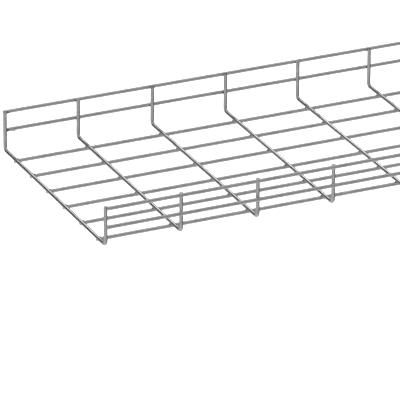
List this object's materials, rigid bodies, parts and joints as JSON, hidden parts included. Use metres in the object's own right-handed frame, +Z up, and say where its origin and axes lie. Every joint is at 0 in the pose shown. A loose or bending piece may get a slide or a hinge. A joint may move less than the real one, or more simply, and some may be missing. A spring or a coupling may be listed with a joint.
{
  "type": "wire mesh cable basket",
  "caption": "Straight length of welded wire mesh cable basket with a flat floor and two low upright sides.",
  "frame": {"origin": "centre of the basket's length and width, at the level that the floor wires rest on", "axes": "+X along the length, +Y towards the far side, +Z up out of the open top"},
  "size_m": [3, 0.3186, 0.0578],
  "materials": {
    "zinc_wire": "bright electroplated zinc on drawn steel wire"
  },
  "bodies": {
    "root": {"floor_mesh": "zinc_wire", "near_side_mesh": "zinc_wire", "far_side_mesh": "zinc_wire"}
  },
  "joints": []
}
